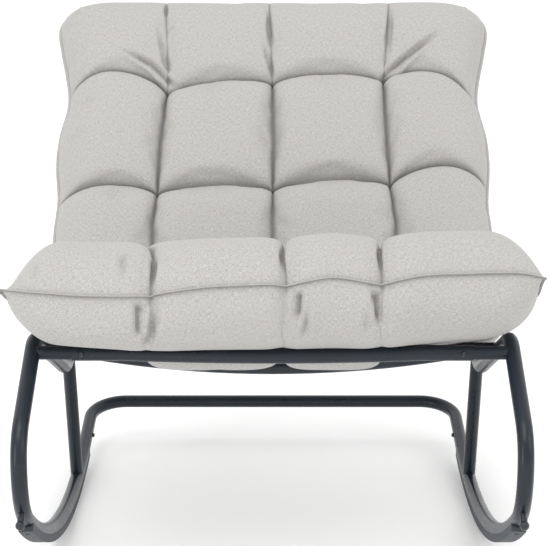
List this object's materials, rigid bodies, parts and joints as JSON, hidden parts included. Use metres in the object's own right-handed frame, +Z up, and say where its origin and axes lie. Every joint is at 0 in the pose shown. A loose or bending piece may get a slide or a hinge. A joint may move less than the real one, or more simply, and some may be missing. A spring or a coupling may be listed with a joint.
{
  "type": "outdoor rocking chair",
  "caption": "Low armless outdoor rocking chair: bent tube side frames on curved rockers joined by cross tubes, with a thick tufted cushion folded over seat and back.",
  "frame": {"origin": "centre of the bounding box on the floor, between the rockers", "axes": "+Z up from the floor, the front of the seat faces -Y, +X to the right seen from the front"},
  "size_m": [0.74, 0.9536, 0.8054],
  "materials": {
    "frame_coat": "satin powder coat",
    "black_bolt": "black oxide",
    "zinc_steel": "zinc plated",
    "nylon_plug": "moulded",
    "rubber_strip": "matt",
    "cushion_cloth": "heathered twill weave"
  },
  "bodies": {
    "root": {"left_side_tube": "frame_coat", "right_side_tube": "frame_coat", "left_support_post": "frame_coat", "right_support_post": "frame_coat", "left_crossbar_spigot": "frame_coat", "right_crossbar_spigot": "frame_coat", "front_crossbar": "frame_coat", "rear_bar": "frame_coat", "back_hoop": "frame_coat", "seat_support_tube": "frame_coat", "low_back_tube": "frame_coat", "high_back_tube": "frame_coat", "crossbar_bolts": "black_bolt", "rear_bar_bolts": "black_bolt", "back_hoop_bolts": "black_bolt", "cross_tube_bolts": "black_bolt", "strip_screws": "black_bolt", "crossbar_inserts": "zinc_steel", "rear_bar_inserts": "zinc_steel", "back_hoop_inserts": "zinc_steel", "stop_studs": "zinc_steel", "cross_tube_plugs": "nylon_plug", "left_rocker_strip": "rubber_strip", "right_rocker_strip": "rubber_strip", "left_stop_bumper": "rubber_strip", "right_stop_bumper": "rubber_strip", "tufted_cushion": "cushion_cloth"}
  },
  "joints": []
}
